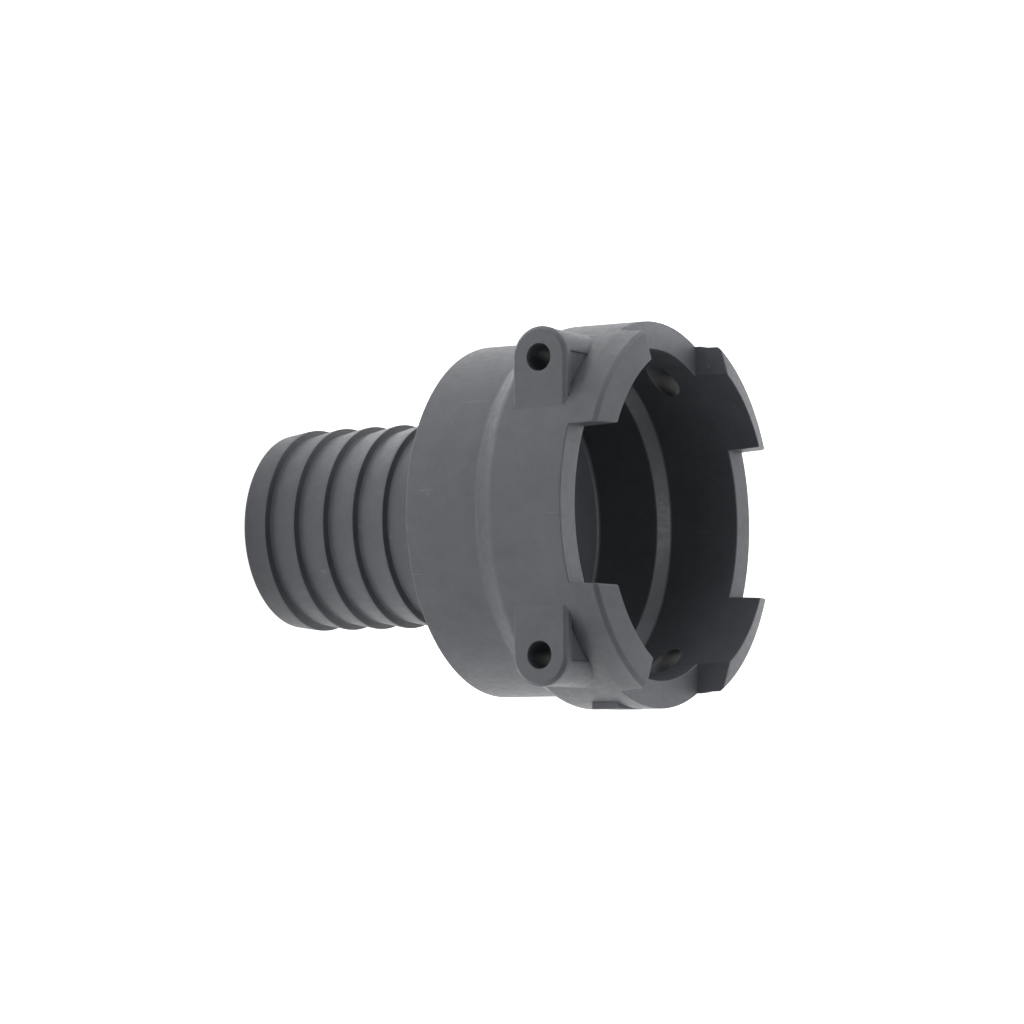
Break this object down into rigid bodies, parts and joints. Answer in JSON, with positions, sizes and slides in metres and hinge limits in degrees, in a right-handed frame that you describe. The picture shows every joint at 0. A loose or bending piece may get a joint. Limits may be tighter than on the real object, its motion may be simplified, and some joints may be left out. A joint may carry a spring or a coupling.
{
  "type": "straight hose connector",
  "caption": "Moulded straight hose connector: a barbed hose tail opening into a round socket with locking lugs and ears for fork pins.",
  "frame": {"origin": "centre of the hose end's flat face, on which the fitting stands", "axes": "+Z along the fitting from the hose end to the mouth of the socket, X along the fork pins, +Y towards one of the two pins"},
  "size_m": [0.076, 0.0761, 0.0934],
  "materials": {
    "moulded_plastic": "dark grey, fine matt moulded surface"
  },
  "bodies": {
    "root": {"connector_body": "moulded_plastic"}
  },
  "joints": []
}
